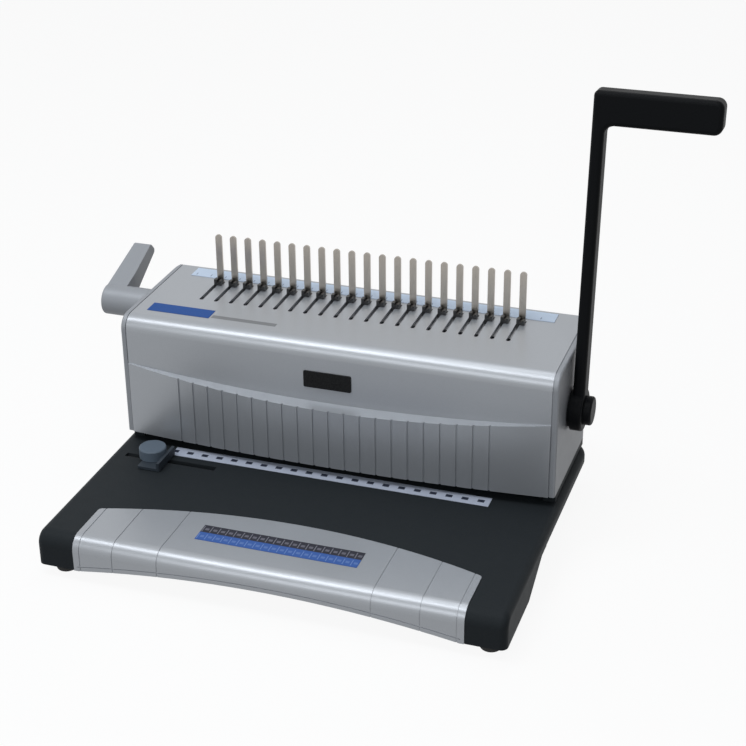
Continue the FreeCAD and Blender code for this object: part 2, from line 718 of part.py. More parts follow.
def die_set():
    """Die plate below the paper, punch guide above it, end spacers between them, and the paper stop."""
    half = S.frame_in - 0.2
    front = -S.punch_y - 16
    rear = -S.punch_y + 16
    gap = 4.8
    die = new_body("die_plate")
    pad(die, "XY", S.table_z - 6, 6, box(-half, half, front, rear))
    holes = pocket(die, "XY", S.table_z - 7, 8, punch_holes(8.2, 3.2))
    repeat(die, holes, "X", S.finger_pitch, S.finger_count)
    guide = new_body("punch_guide")
    pad(guide, "XY", S.table_z + gap, 12, box(-half, half, front, rear))
    holes = pocket(guide, "XY", S.table_z + gap - 1, 14, punch_holes(8.2, 3.2))
    repeat(guide, holes, "X", S.finger_pitch, S.finger_count)
    spacers = new_body("die_spacers")
    lows = [mirrored_span(side, half - 14, half) for side in SIDES.values()]
    pad(spacers, "XY", S.table_z, gap, *[box(low, low + 14, front, rear) for low in lows])
    stop_half = half - 14.2
    plate("back_stop", "XY", S.table_z + 0.1, gap - 0.2, box(-stop_half, stop_half, -S.punch_y + 4.5, rear))
    plate_screws(half)


def plate_screws(half):
    """Screws through the side frames into the die plate and the punch guide."""
    body = new_body("plate_screws")
    places = [(y, z) for y in (-60, -36) for z in (38, 51.8)]
    for side in SIDES.values():
        head = mirrored_span(side, S.frame_in + S.frame_thick, S.frame_in + S.frame_thick + 2)
        pad(body, "YZ", head, 2, *[circle(y, z, 2.6) for y, z in places])
        shank = mirrored_span(side, half - 10, S.frame_in + S.frame_thick)
        reach = S.frame_in + S.frame_thick - half + 10
        pad(body, "YZ", shank, reach, *[circle(y, z, 1.5) for y, z in places])


# Punch

def punch_bar():
    """The pressing bar with a tongue at each end, its wear pads and the row of punches."""
    bar = new_body("punch_bar")
    half = S.frame_in - 0.5
    pad(bar, "XY", 85, 14, box(-half, half, -S.punch_y - 12, -S.punch_y + 12))
    reach = S.frame_in + S.frame_thick + 1
    pad(bar, "XY", 85, 14, box(-reach, reach, -S.punch_y - 8, -S.punch_y + 8))
    pads = new_body("follower_pads")
    lows = [mirrored_span(side, 118, 134) for side in SIDES.values()]
    top = S.punch_z - S.punch_travel
    pad(pads, "XY", 99, top - 99, *[box(low, low + 16, -S.punch_y - 12, -S.punch_y + 12) for low in lows])
    pins = new_body("punch_pins")
    repeat(pins, pad(pins, "XY", 47, 44, punch_holes(8, 3)), "X", S.finger_pitch, S.finger_count)


def return_spring(name):
    """A coil spring between the punch guide and the bar."""
    side = SIDES[name]
    low = S.table_z + 16.8
    wire = 0.6
    body = new_body(name + "_return_spring")
    profile = draw(body, "XZ", 0, circle(4.4, wire + 0.1, wire))
    feature = body.newObject("PartDesign::AdditiveHelix", "coil")
    feature.Profile = profile
    feature.ReferenceAxis = (profile, ["V_Axis"])
    feature.Mode = 0
    bind(feature, "Pitch", 3.6)
    bind(feature, "Height", 85 - low - 2 * wire - 0.2)
    body.Tip = feature
    TURNED[body.Label] = FreeCAD.Placement(FreeCAD.Vector(side * 158, -S.punch_y.value, low.value),
                                           FreeCAD.Rotation())


def cam_lobe():
    """The lobe's outline: its reach below the shaft grows evenly as the handle turns."""
    rate = S.punch_travel.value / math.radians(S.handle_swing.value)
    reach = S.punch_travel.value - 0.3
    steps = 10
    rim = []
    for step in range(steps + 1):
        turn = math.radians(S.handle_swing.value + 5) * step / steps
        angle = -math.pi / 2 - turn
        height = reach + rate * turn
        rim.append((height * math.cos(angle) + rate * math.sin(angle),
                    height * math.sin(angle) - rate * math.cos(angle)))
    outline = [(0, 0)] + rim
    return points(*[(y - S.punch_y, z + S.punch_z) for y, z in outline])


def cam(name):
    """A cam on the punch shaft."""
    side = SIDES[name]
    body = new_body(name + "_cam")
    low = mirrored_span(side, 120, 132)
    pad(body, "YZ", low, 12, circle(-S.punch_y, S.punch_z, S.punch_travel - 0.3))
    pad(body, "YZ", low, 12, cam_lobe())
    pocket(body, "YZ", low - 1, 14, circle(-S.punch_y, S.punch_z, S.punch_r + S.fit))


def punch_drive():
    """The shaft, its cams, and the pins that lock them together."""
    shaft = new_body("punch_shaft")
    start = -S.frame_in - 8
    pad(shaft, "YZ", start, S.arm_in + 7 - start, circle(-S.punch_y, S.punch_z, S.punch_r))
    cam("left")
    cam("right")
    pins = new_body("cam_pins")
    places = [circle(side * 126, -S.punch_y, 2) for side in SIDES.values()]
    pad(pins, "XY", S.punch_z - 10, 20, *places)


# Punch handle, drawn upright about its own pivot and then leaned back

def lean_back(body):
    """Lean a piece of the handle about the pivot."""
    pivot = FreeCAD.Vector(0, -S.punch_y.value, S.punch_z.value)
    lean = FreeCAD.Rotation(FreeCAD.Vector(1, 0, 0), -S.handle_lean.value)
    TURNED[body.Label] = FreeCAD.Placement(pivot, lean)


def handle_lever():
    """The L-shaped moulding: hub, arm and grip."""
    body = new_body("handle_lever")
    lean_back(body)
    half = S.arm_deep / 2
    top = S.grip_mid + S.grip_tall / 2
    under = S.grip_mid - S.grip_tall / 2
    outer = S.arm_in + S.arm_thick
    shape = points((S.arm_in, 0), (outer, 0), (outer, under), (S.grip_end, under), (S.grip_end, top),
                   (S.arm_in, top))
    pad(body, "XZ", -half, S.arm_deep, shape)
    round_edges(body, 8, runs_along("y", x=outer, z=under))
    round_edges(body, 7, runs_along("y", x=S.grip_end))
    round_edges(body, 4.5, runs_along("y", x=S.arm_in, z=top))
    round_edges(body, 4, lambda edge: near(abs(edge.CenterOfMass.y), half) and edge.CenterOfMass.z > 1)
    pad(body, "YZ", S.arm_in, S.arm_thick, circle(0, 0, S.hub_r))
    pocket(body, "YZ", S.arm_in - 1, S.arm_thick + 2, circle(0, 0, S.punch_r + S.fit))
    round_edges(body, 2, lambda edge: rim_at(outer)(edge) and edge.Curve.Radius > S.punch_r.value + 2)


def handle_parts():
    """The handle's steel core, its pivot bolt and the ring behind it."""
    core = new_body("handle_core")
    lean_back(core)
    start = S.arm_in + 2.5
    end = S.grip_end - 12
    inner = points((start, S.punch_r + 6), (start + 4, S.punch_r + 6), (start + 4, S.grip_mid - 5),
                   (end, S.grip_mid - 5), (end, S.grip_mid + 5), (start, S.grip_mid + 5))
    pad(core, "XZ", -5, 10, inner)
    bolt = new_body("handle_bolt")
    lean_back(bolt)
    face = S.arm_in + S.arm_thick + 0.2
    pad(bolt, "YZ", face, 6.8, circle(0, 0, 12.6))
    round_edges(bolt, 2, rim_at(face + 6.8))
    pad(bolt, "YZ", face - 24, 24, circle(0, 0, 4))
    ring = new_body("handle_spacer")
    lean_back(ring)
    pad(ring, "YZ", S.cap_half + S.rear_slack, S.arm_in - S.cap_half - S.rear_slack, circle(0, 0, 16),
        circle(0, 0, S.punch_r + S.fit))


# Comb opener

def binding_fingers():
    """The upright fingers, the rail that carries them and their rivets."""
    fingers = new_body("binding_fingers")
    x = first_finger()
    half = S.finger_wide / 2
    shape = points((x + half, S.finger_foot), (x + half, S.finger_tip - 2.6), (x - half, S.finger_tip - 2.6),
                   (x - half, S.finger_foot))
    repeat(fingers, pad(fingers, "XZ", -1, 2, bowed(shape, 1, 2.6)), "X", S.finger_pitch, S.finger_count)
    plate("finger_rail", "XZ", 1, 8, box(-S.frame_in, S.frame_in, S.finger_foot, S.finger_foot + 14))
    rivets = new_body("finger_rivets")
    row = pad(rivets, "XZ", -1.8, 12, circle(x, S.finger_foot + 7, 1.5))
    repeat(rivets, row, "X", S.finger_pitch, S.finger_count)


def hook_slide():
    """The plate under the top cover, its hooks, and the rails at its ends."""
    floor = S.cover_top - 4.5
    slide = plate("slide_plate", "XY", floor, 1.5, box(-S.gear_in, S.gear_in, -30, -2.5))
    round_edges(slide, 3, runs_along("z", y=-30))
    hooks = new_body("pull_hooks")
    x = first_finger()
    deck = S.cover_top
    shape = points((x - 3.4, floor + 1.5), (x - 1.4, floor + 1.5), (x - 1.4, deck + 0.6),
                   (x + 3.4, deck + 0.6), (x + 3.4, deck + 4.8), (x + 1.4, deck + 4.8),
                   (x + 1.4, deck + 3.2), (x - 0.6, deck + 3.2), (x - 0.6, deck + 5.8), (x - 3.4, deck + 5.8))
    repeat(hooks, pad(hooks, "XZ", -8, 5, shape), "X", S.finger_pitch, S.finger_count)
    rails = new_body("slider_rails")
    lows = [mirrored_span(side, S.gear_in + S.gear_wide + 1, S.frame_in) for side in SIDES.values()]
    wide = S.frame_in - S.gear_in - S.gear_wide - 1
    pad(rails, "XY", floor - 5, 4.8, *[box(low, low + wide, -76, 12) for low in lows])


def tooth_half(radius):
    """Half the thickness of an involute pinion tooth at a radius, less the backlash."""
    pitch_r = S.gear_r.value
    base_r = pitch_r * math.cos(math.radians(20))
    pressure = math.acos(min(1.0, base_r / radius))
    start = math.tan(math.radians(20)) - math.radians(20)
    thick = math.pi / (2 * S.gear_teeth.value) - 0.125 / pitch_r
    return radius * (thick + start - (math.tan(pressure) - pressure))


def pinion(name):
    """A toothed wheel on the opener shaft, with one tooth straight up."""
    side = SIDES[name]
    body = new_body(name + "_pinion")
    low = mirrored_span(side, S.gear_in, S.gear_in + S.gear_wide)
    pad(body, "YZ", low, S.gear_wide, circle(0, 0, S.gear_r - 1.25))
    levels = [S.gear_r.value + step for step in (-1.4, -0.63, 0, 0.45, 0.9)]
    right = [(tooth_half(level), level) for level in levels]
    left = [(-tooth_half(level), level) for level in reversed(levels)]
    tooth = pad(body, "YZ", low, S.gear_wide, points(*(right + left)))
    ring = body.newObject("PartDesign::PolarPattern", "teeth")
    ring.Originals = [tooth]
    ring.Axis = (origin_feature(body, "X_Axis"), [""])
    ring.Angle = 360
    bind(ring, "Occurrences", S.gear_teeth)
    body.Tip = ring
    pocket(body, "YZ", low - 1, S.gear_wide + 2, circle(0, 0, S.lever_r + S.fit))
    axis = FreeCAD.Vector(0, -S.lever_y.value, S.lever_z.value)
    TURNED[body.Label] = FreeCAD.Placement(axis, FreeCAD.Rotation())


def rack(name):
    """A toothed bar over a pinion, with a tongue that lies on its rail."""
    side = SIDES[name]
    body = new_body(name + "_rack")
    low = mirrored_span(side, S.gear_in, S.gear_in + S.gear_wide)
    line = S.lever_z + S.gear_r
    top = S.cover_top - 3
    rear = 6
    pad(body, "YZ", low, S.gear_wide, box(-42, rear, line + 1.25, top))
    tongue = mirrored_span(side, S.gear_in + S.gear_wide - 1, S.frame_in - 0.4)
    wide = S.frame_in - S.gear_in - S.gear_wide + 0.6
    pad(body, "XY", line + 1.4, top - line - 1.4, box(tongue, tongue + wide, -42, rear))
    step = 2 * math.pi * S.gear_r / S.gear_teeth
    half = step / 4 - 0.125
    slope = math.tan(math.radians(20))
    middle = -S.lever_y - 2.5 * step
    tooth = points((middle - half - 1.3 * slope, line + 1.3), (middle + half + 1.3 * slope, line + 1.3),
                   (middle + half - 0.9 * slope, line - 0.9), (middle - half + 0.9 * slope, line - 0.9))
    repeat(body, pad(body, "YZ", low, S.gear_wide, tooth), "Y", step, 14)


def opener_drive():
    """The shaft that the comb lever turns, with its pinions and the racks above them."""
    shaft = new_body("opener_shaft")
    start = -S.lever_end + 12
    pad(shaft, "YZ", start, S.frame_in + 6 - start, circle(-S.lever_y, S.lever_z, S.lever_r))
    for name in SIDES:
        pinion(name)
        rack(name)


def comb_lever():
    """The silver lever: a round boss and a flat blade that points up and back."""
    body = new_body("comb_lever")
    gap = S.cap_half + 0.8
    pad(body, "YZ", -S.lever_end, S.lever_end - gap, circle(-S.lever_y, S.lever_z, S.boss_r))
    blade = points((-S.lever_y, S.lever_z + S.boss_r - 0.8), (-S.lever_y - 6, S.lever_z - 8),
                   (-S.lever_y + 12, S.lever_z - 5), (39.6, 170.5), (30, 180))
    pad(body, "YZ", -S.lever_end, 20, blade)
    narrow = points((-S.lever_end + 20, -12), (-S.lever_end + 22, -12), (-S.lever_end + 22, 45),
                    (-S.lever_end + 16.5, 45))
    pocket(body, "XY", S.lever_z, 40, narrow)
    round_edges(body, 3, runs_along("x", y=[30, 39.6]))
    round_edges(body, 1.5, lambda edge: near(edge.CenterOfMass.x, -S.lever_end))
    pocket(body, "YZ", -S.lever_end + 12, 40, circle(-S.lever_y, S.lever_z, S.lever_r + S.fit))
    screw = new_body("lever_set_screw")
    start = S.lever_z - S.boss_r - 0.4
    pad(screw, "XY", start, S.lever_z - S.lever_r - 0.2 - start, circle(-215, -S.lever_y, 2.5))


# Edge guide and chip drawer

def edge_guide():
    """The sliding stop on the table, its clamp knob, screw and nut."""
    x = -162
    deck = S.table_z + 0.6
    left = x - 6
    front = -S.guide_y - 21
    rear = -S.guide_y + 13
    body = new_body("guide_body")
    pad(body, "XY", deck, 2.4, box(left, x + 15.4, front, rear))
    pad(body, "XY", deck, 8, box(x + 12.6, x + 15.4, front, rear))
    half = S.slot_width / 2 - 0.4
    pad(body, "XY", S.table_z - 3, 4, box(left, x, -S.guide_y - half, -S.guide_y + half))
    round_edges(body, 1.2, runs_along("z", x=[left, x + 15.4], y=[front, rear]))
    pocket(body, "XY", S.table_z - 5, 12, circle(x, -S.guide_y, 2.7))
    knob = new_body("guide_knob")
    pad(knob, "XY", deck + 2.7, 9.7, circle(x, -S.guide_y, 12.3))
    round_edges(knob, 1.5, in_level(deck + 12.4))
    screw = new_body("guide_screw")
    pad(screw, "XY", S.table_z - 9, 14, circle(x, -S.guide_y, 2.6))
    nut = new_body("guide_nut")
    roof = S.table_z - S.base_wall - 0.2
    pad(nut, "XY", roof - 4, 4, box(x - 9, x + 9, -S.guide_y - 8, -S.guide_y + 8))
    pocket(nut, "XY", roof - 5, 6, circle(x, -S.guide_y, 2.7))


def chip_drawer():
    """The drawer under the die, pulled out at the rear."""
    body = new_body("chip_drawer")
    floor = S.pod_z + S.sheet + S.rear_slack
    half = S.frame_in - 3
    face = S.pan_rear + S.rear_slack
    top = S.skirt_z - 0.6
    pad(body, "XY", floor, top - floor, box(-half, half, -108, face))
    inner = half - 2.4
    pocket(body, "XY", floor + 2, 30, box(-inner, inner, -105.6, face - 2.4))
    pad(body, "XZ", face, 2.8, box(-S.pan_half, S.pan_half, S.pod_z, top))
    pad(body, "XY", top - 8, 3, box(-45, 45, face + 1, face + 9))
    round_edges(body, 4, runs_along("z", y=face + 9))


def build():
    """Build every sub-part."""
    base_cover()
    cover_plinths()
    front_trim()
    labels()
    chassis_pan()
    rubber_feet()
    base_fasteners()
    main_cover()
    rear_cover()
    for name in SIDES:
        end_cap(name)
        side_frame(name)
        return_spring(name)
    bush_pair("shaft_bushes", -S.punch_y, S.punch_z, S.punch_r, 3)
    bush_pair("opener_bushes", -S.lever_y, S.lever_z, S.lever_r, 3)
    die_set()
    punch_bar()
    punch_drive()
    handle_lever()
    handle_parts()
    binding_fingers()
    hook_slide()
    opener_drive()
    comb_lever()
    edge_guide()
    chip_drawer()
    DOC.recompute()


def place_all():
    """Lean the turned pieces, then set the origin under the middle of the whole machine."""
    for body in SUB_PARTS:
        body.Placement = TURNED.get(body.Label, FreeCAD.Placement())
    whole = FreeCAD.BoundBox()
    for body in SUB_PARTS:
        whole.add(body.Shape.optimalBoundingBox(False))
    shift = FreeCAD.Vector(-whole.Center.x, -whole.Center.y, -whole.ZMin)
    for body in SUB_PARTS:
        place = body.Placement
        body.Placement = FreeCAD.Placement(place.Base + shift, place.Rotation)
    print("size %.1f x %.1f x %.1f" % (whole.XLength, whole.YLength, whole.ZLength))
    print("shift %.3f %.3f %.3f" % tuple(shift))


def check():
    """Stop if any object failed or any sub-part is empty or broken."""
    for item in DOC.Objects:
        if "Invalid" in item.State or "Error" in item.State:
            raise RuntimeError("%s failed: %s" % (item.Label, item.State))
    for body in SUB_PARTS:
        if body.Shape.isNull() or not body.Shape.isValid():
            raise RuntimeError("%s has no sound shape" % body.Label)


def export():
    """Write each sub-part to its own file."""
    os.makedirs("parts", exist_ok=True)
    for body in SUB_PARTS:
        body.Shape.exportStep("parts/%s.step" % body.Label)
    print("%d sub-parts" % len(SUB_PARTS))


build()
place_all()
check()
export()
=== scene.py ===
"""Looks of a comb binding machine: finishes, printed marks, springs, floor, lights and camera.

Lengths below are in millimetres. Places on the machine are counted from its mid-plane (X), from the row of
binding fingers (Y, with the operator at -Y) and from the surface that it stands on (Z).
"""
import math

import bpy
from mathutils import Matrix, Vector

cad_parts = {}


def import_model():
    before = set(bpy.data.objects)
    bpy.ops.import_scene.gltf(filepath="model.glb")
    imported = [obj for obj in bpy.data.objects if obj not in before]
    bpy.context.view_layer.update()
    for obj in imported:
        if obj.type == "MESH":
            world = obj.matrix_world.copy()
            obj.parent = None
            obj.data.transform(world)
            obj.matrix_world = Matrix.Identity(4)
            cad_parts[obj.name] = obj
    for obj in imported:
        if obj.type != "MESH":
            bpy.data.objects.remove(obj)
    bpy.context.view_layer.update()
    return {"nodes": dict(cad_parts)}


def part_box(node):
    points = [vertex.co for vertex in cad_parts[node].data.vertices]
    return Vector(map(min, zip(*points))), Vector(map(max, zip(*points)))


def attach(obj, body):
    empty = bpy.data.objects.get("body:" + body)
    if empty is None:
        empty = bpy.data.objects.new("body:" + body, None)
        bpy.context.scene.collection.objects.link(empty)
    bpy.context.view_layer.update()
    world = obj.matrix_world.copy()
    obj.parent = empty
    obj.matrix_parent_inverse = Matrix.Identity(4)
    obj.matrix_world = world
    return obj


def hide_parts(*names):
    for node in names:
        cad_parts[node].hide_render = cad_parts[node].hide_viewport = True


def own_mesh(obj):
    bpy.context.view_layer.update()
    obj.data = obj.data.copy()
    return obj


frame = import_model()
NODES = frame["nodes"]

MM = 0.001
RING_PITCH = 14.2875


def middle(node, axis):
    """Middle of a solid along one axis, in metres."""
    low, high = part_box(node)
    return (low[axis] + high[axis]) / 2


ORIGIN = Vector((middle("base_cover", 0), middle("binding_fingers", 1), 0))


def place(x, y, z):
    """A place on the machine in the shared frame, in metres."""
    return ORIGIN + Vector((x, y, z)) * MM


def linear(level):
    """The light that an sRGB level stands for, both from 0 to 1."""
    if level <= 0.04045:
        return level / 12.92
    return ((level + 0.055) / 1.055) ** 2.4


def colour(code):
    """Linear red, green, blue and alpha of a hex colour."""
    levels = [int(code[start:start + 2], 16) / 255 for start in (1, 3, 5)]
    return (*map(linear, levels), 1.0)


class Finish:
    """A material whose nodes are laid down by short calls."""

    def __init__(self, name, base, roughness, metallic=0.0, specular=0.5):
        self.material = bpy.data.materials.new(name)
        self.material.use_nodes = True
        self.tree = self.material.node_tree
        self.shader = self.tree.nodes["Principled BSDF"]
        self.feed("Base Color", colour(base))
        self.feed("Roughness", roughness)
        self.feed("Metallic", metallic)
        self.feed("Specular IOR Level", specular)

    def join(self, value, socket):
        """Feed a socket from a node's output, or set it to a plain value."""
        if isinstance(value, bpy.types.NodeSocket):
            self.tree.links.new(value, socket)
        else:
            socket.default_value = value

    def feed(self, socket, value):
        """Feed one of the shader's inputs."""
        self.join(value, self.shader.inputs[socket])

    def add(self, kind, *inputs, **settings):
        """Add a node, with its inputs in order."""
        node = self.tree.nodes.new(kind)
        for name, value in settings.items():
            setattr(node, name, value)
        for socket, value in zip(node.inputs, inputs):
            self.join(value, socket)
        return node

    def math(self, operation, *inputs):
        """One step of arithmetic."""
        return self.add("ShaderNodeMath", *inputs, operation=operation).outputs[0]

    def point(self):
        """The surface point in the part's own coordinates, in metres."""
        return self.add("ShaderNodeTexCoord").outputs["Object"]

    def along(self, axis):
        """The surface point's place along X, Y or Z on the machine, in millimetres."""
        split = self.add("ShaderNodeSeparateXYZ", self.point())
        start = ORIGIN["XYZ".index(axis)]
        return self.math("MULTIPLY", self.math("SUBTRACT", split.outputs[axis], start), 1 / MM)

    def stretched(self, x, y, z):
        """The surface point with its axes scaled, for grain that runs one way."""
        node = self.add("ShaderNodeVectorMath", self.point(), (x, y, z), operation="MULTIPLY")
        return node.outputs[0]

    def noise(self, size, detail=3.0, vector=None):
        """Soft random variation from 0 to 1, with spots of about a size in millimetres."""
        node = self.add("ShaderNodeTexNoise", vector or self.point())
        node.inputs["Scale"].default_value = 1 / (size * MM)
        node.inputs["Detail"].default_value = detail
        return node.outputs["Fac"]

    def within(self, axis, low, high):
        """1 where the surface lies between two places along an axis, otherwise 0."""
        return self.math("COMPARE", self.along(axis), (low + high) / 2, (high - low) / 2)

    def row(self, start, pitch, width):
        """1 on each mark of an even row along X, otherwise 0. One mark has its middle at the start."""
        offset = self.math("SUBTRACT", self.along("X"), start - pitch / 2)
        return self.math("COMPARE", self.math("FLOORED_MODULO", offset, pitch), pitch / 2, width / 2)

    def overlap(self, *masks):
        """1 where all of several masks are 1."""
        whole = masks[0]
        for mask in masks[1:]:
            whole = self.math("MULTIPLY", whole, mask)
        return whole

    def rescale(self, value, low, high):
        """Stretch 0 to 1 over another range."""
        return self.add("ShaderNodeMapRange", value, 0.0, 1.0, low, high).outputs[0]

    def blend(self, share, first, second):
        """Mix two colours."""
        node = self.add("ShaderNodeMix", data_type="RGBA")
        self.join(share, node.inputs["Factor"])
        for name, value in (("A", first), ("B", second)):
            socket = next(s for s in node.inputs if s.name == name and s.type == "RGBA")
            self.join(value, socket)
        return next(s for s in node.outputs if s.type == "RGBA")

    def relief(self, height, depth):
        """Tilt the surface by a height pattern of a depth in millimetres."""
        node = self.add("ShaderNodeBump")
        node.inputs["Distance"].default_value = depth * MM
        self.join(height, node.inputs["Height"])
        self.feed("Normal", node.outputs[0])

    def tint(self, pattern, dark, light):
        """The colour of a pattern that goes from dark to light."""
        return self.blend(pattern, colour(dark), colour(light))

    def grain(self, dark, light, size, depth, rough):
        """The grain of a moulded or painted face: fine spots, and gloss that varies in wider patches."""
        patch_size = 12 * size
        spots = self.noise(size)
        patches = self.noise(patch_size, detail=2.0)
        self.feed("Base Color", self.tint(spots, dark, light))
        self.feed("Roughness", self.rescale(patches, *rough))
        self.relief(spots, depth)


# Finishes

SILVER = {"base": "#A2A5AA", "roughness": 0.32, "metallic": 0.45}
SILVER_TINTS = {"dark": "#9CA0A5", "light": "#A8ABB0"}
SILVER_ROUGH = (0.29, 0.35)
SPECKLE_SIZE = 0.7
SPECKLE_DEPTH = 0.008

GREY_BAR_COLOUR = "#74777B"
GREY_BAR_SPANS = {"X": (-121, -60), "Y": (-74.5, -68.5), "Z": (164, 165)}


def silver_paint():
    """Silver paint with a fine metallic speckle."""
    finish = Finish("silver_paint", **SILVER)
    finish.grain(**SILVER_TINTS, size=SPECKLE_SIZE, depth=SPECKLE_DEPTH, rough=SILVER_ROUGH)
    return finish.material


def cover_paint():
    """The same paint on the cover, with the bare grey bar that is printed beside the blue label."""
    finish = Finish("cover_paint", **SILVER)
    spots = finish.noise(SPECKLE_SIZE)
    patches = finish.noise(size=8, detail=2.0)
    paint = finish.tint(spots, **SILVER_TINTS)
    bar = finish.overlap(*[finish.within(axis, *span) for axis, span in GREY_BAR_SPANS.items()])
    finish.feed("Base Color", finish.blend(bar, paint, colour(GREY_BAR_COLOUR)))
    finish.feed("Roughness", finish.rescale(patches, *SILVER_ROUGH))
    finish.relief(spots, SPECKLE_DEPTH)
    return finish.material


def dull_silver():
    """Duller silver of the moulded end caps and the comb lever."""
    finish = Finish("dull_silver", base="#989BA0", roughness=0.45, metallic=0.2, specular=0.2)
    finish.grain(dark="#93969B", light="#9DA0A5", size=0.9, depth=0.012, rough=(0.4, 0.5))
    return finish.material


def black_moulding():
    """Black plastic with a fine leather grain."""
    finish = Finish("black_moulding", base="#25292C", roughness=0.55, specular=0.07)
    finish.grain(dark="#212528", light="#292D30", size=1.1, depth=0.02, rough=(0.5, 0.6))
    return finish.material


def handle_moulding():
    """Satin black plastic of the handle."""
    finish = Finish("handle_moulding", base="#0E1012", roughness=0.5, specular=0.05)
    finish.grain(dark="#0C0D0F", light="#111315", size=1.6, depth=0.015, rough=(0.4, 0.5))
    return finish.material


def grey_moulding(name, dark, light):
    """Blue-grey plastic of the edge guide and its knob."""
    finish = Finish(name, base=light, roughness=0.5, specular=0.25)
    finish.grain(dark, light, size=0.9, depth=0.02, rough=(0.45, 0.55))
    return finish.material


def rubber():
    """Dull black rubber."""
    finish = Finish("rubber", base="#161616", roughness=0.8)
    finish.grain(dark="#131313", light="#1B1B1B", size=0.8, depth=0.03, rough=(0.72, 0.88))
    return finish.material


def black_enamel():
    """Black enamel on steel."""
    finish = Finish("black_enamel", base="#1A1B1D", roughness=0.4)
    finish.grain(dark="#17181A", light="#1F2022", size=1.4, depth=0.015, rough=(0.35, 0.45))
    return finish.material


def brushed(name, dark, light, roughness):
    """Bare metal with fine marks along X."""
    spread = 0.06
    finish = Finish(name, base=light, roughness=roughness, metallic=1.0)
    marks = finish.noise(size=0.5, detail=4.0, vector=finish.stretched(0.04, 1.0, 1.0))
    finish.feed("Base Color", finish.tint(marks, dark, light))
    finish.feed("Roughness", finish.rescale(marks, roughness - spread, roughness + spread))
    finish.relief(marks, depth=0.006)
    return finish.material


def nickel():
    """Nickel plating with faint upright polishing marks."""
    finish = Finish("nickel", base="#A8A29A", roughness=0.3, metallic=1.0)
    marks = finish.noise(size=0.4, vector=finish.stretched(1.0, 1.0, 0.05))
    finish.feed("Base Color", finish.tint(marks, dark="#9C968E", light="#B4AEA6"))
    finish.feed("Roughness", finish.rescale(marks, low=0.24, high=0.36))
    finish.relief(marks, depth=0.004)
    return finish.material


def film(name, base, marks):
    """A printed film: its ground, and marks that a function picks by place."""
    finish = Finish(name, base, roughness=0.4, specular=0.06)
    ground = colour(base)
    for mask, code in marks(finish):
        ground = finish.blend(mask, ground, colour(code))
    finish.feed("Base Color", ground)
    finish.feed("Roughness", finish.rescale(finish.noise(size=3.0), low=0.34, high=0.46))
    return finish.material


def scale_marks(finish):
    """One dark mark on the paper scale for each ring."""
    marks = finish.row(start=-5.6, pitch=RING_PITCH, width=6.0)
    return [(finish.overlap(marks, finish.within("Y", low=-107.7, high=-103.3)), "#333846")]


def trim_marks(finish):
    """Two rows of plain ticks on the label of the trim: on a dark band above, on the blue ground below."""
    pitch = 7.1
    lines = finish.row(start=0, pitch=pitch, width=0.8)
    dashes = finish.row(start=3.5, pitch=pitch, width=3.4)
    rows = [
        (lines, (-224.0, -215.5), "#7C7C86"),
        (dashes, (-221.5, -218.5), "#6C6C76"),
        (lines, (-235.0, -227.0), "#6F89BE"),
        (dashes, (-232.5, -229.5), "#617DB6"),
    ]
    dark_band = finish.within("Y", low=-225.0, high=-214.0)
    marks = [(dark_band, "#3A3A42")]
    for row, span, code in rows:
        marks.append((finish.overlap(row, finish.within("Y", *span)), code))
    return marks


def size_marks(finish):
    """A row of faint ticks on the pale strip behind the fingers."""
    ticks = finish.row(start=0, pitch=RING_PITCH, width=1.0)
    return [(finish.overlap(ticks, finish.within("Y", low=9.0, high=13.0)), "#8F9DB2")]


def no_marks(finish):
    """A bare film with a faint bloom."""
    bloom = 0.03
    return [(finish.math("MULTIPLY", finish.noise(size=1.0), bloom), "#FFFFFF")]


def own_finishes():
    """The finishes that a single solid has."""
    return {
        "main_cover": cover_paint(),
        "binding_fingers": nickel(),
        "rubber_feet": rubber(),
        "guide_knob": grey_moulding("knob_moulding", dark="#55616D", light="#5E6A77"),
        # The guide body's dark blue-grey is partly its own darker plastic and partly painted shade: the
        # shade that falls on it under the knob.
        "guide_body": grey_moulding("guide_moulding_and_shade", dark="#2C333A", light="#353C44"),
        "trim_label": film("trim_film", "#4465A8", trim_marks),
        "scale_strip": film("scale_film", "#B4BBCB", scale_marks),
        "comb_size_strip": film("size_film", "#CAD8EA", size_marks),
        "blue_label": film("blue_film", "#124A92", no_marks),
        "name_plate": film("plate_film", "#08090B", no_marks),
    }


def shared_finishes():
    """The finishes that several solids share, by solid."""
    dark_steel = brushed("dark_steel", dark="#4E5054", light="#6A6C70", roughness=0.4)
    brass = brushed("brass", dark="#A98A4A", light="#C4A562", roughness=0.32)
    groups = {
        silver_paint(): ("front_trim", "rear_cover"),
        dull_silver(): ("left_end_cap", "right_end_cap", "comb_lever"),
        black_moulding(): ("base_cover", "cover_plinths", "chip_drawer"),
        handle_moulding(): ("handle_lever", "handle_bolt", "handle_spacer"),
        black_enamel(): ("chassis_pan", "pull_hooks"),
        dark_steel: ("foot_screws", "base_screws", "frame_screws", "rear_screws", "plate_screws",
                     "finger_rivets", "lever_set_screw", "guide_screw"),
        brass: ("shaft_bushes", "opener_bushes", "follower_pads"),
    }
    return {name: material for material, names in groups.items() for name in names}


def paint_parts():
    """Give every solid its finish, which is bare steel where no other is named."""
    finishes = {**own_finishes(), **shared_finishes()}
    steel = brushed("steel", dark="#8E9094", light="#B2B4B8", roughness=0.34)
    for name, part in NODES.items():
        part.data.materials.clear()
        part.data.materials.append(finishes.get(name, steel))


# Springs

def shortening_spring(node):
    """Show a return spring as a copy of its solid that the frame carries, and hide the original solid."""
    coil = bpy.data.objects.new(node + "_coil", NODES[node].data.copy())
    bpy.context.scene.collection.objects.link(coil)
    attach(coil, "frame")
    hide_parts(node)
    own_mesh(coil)


# Surroundings

FLOOR_REACH = 12000
FLOOR_COLOUR = "#F2F2F2"
FLOOR_BOUNCE = "#707070"
FLOOR_GLOW = 0.92

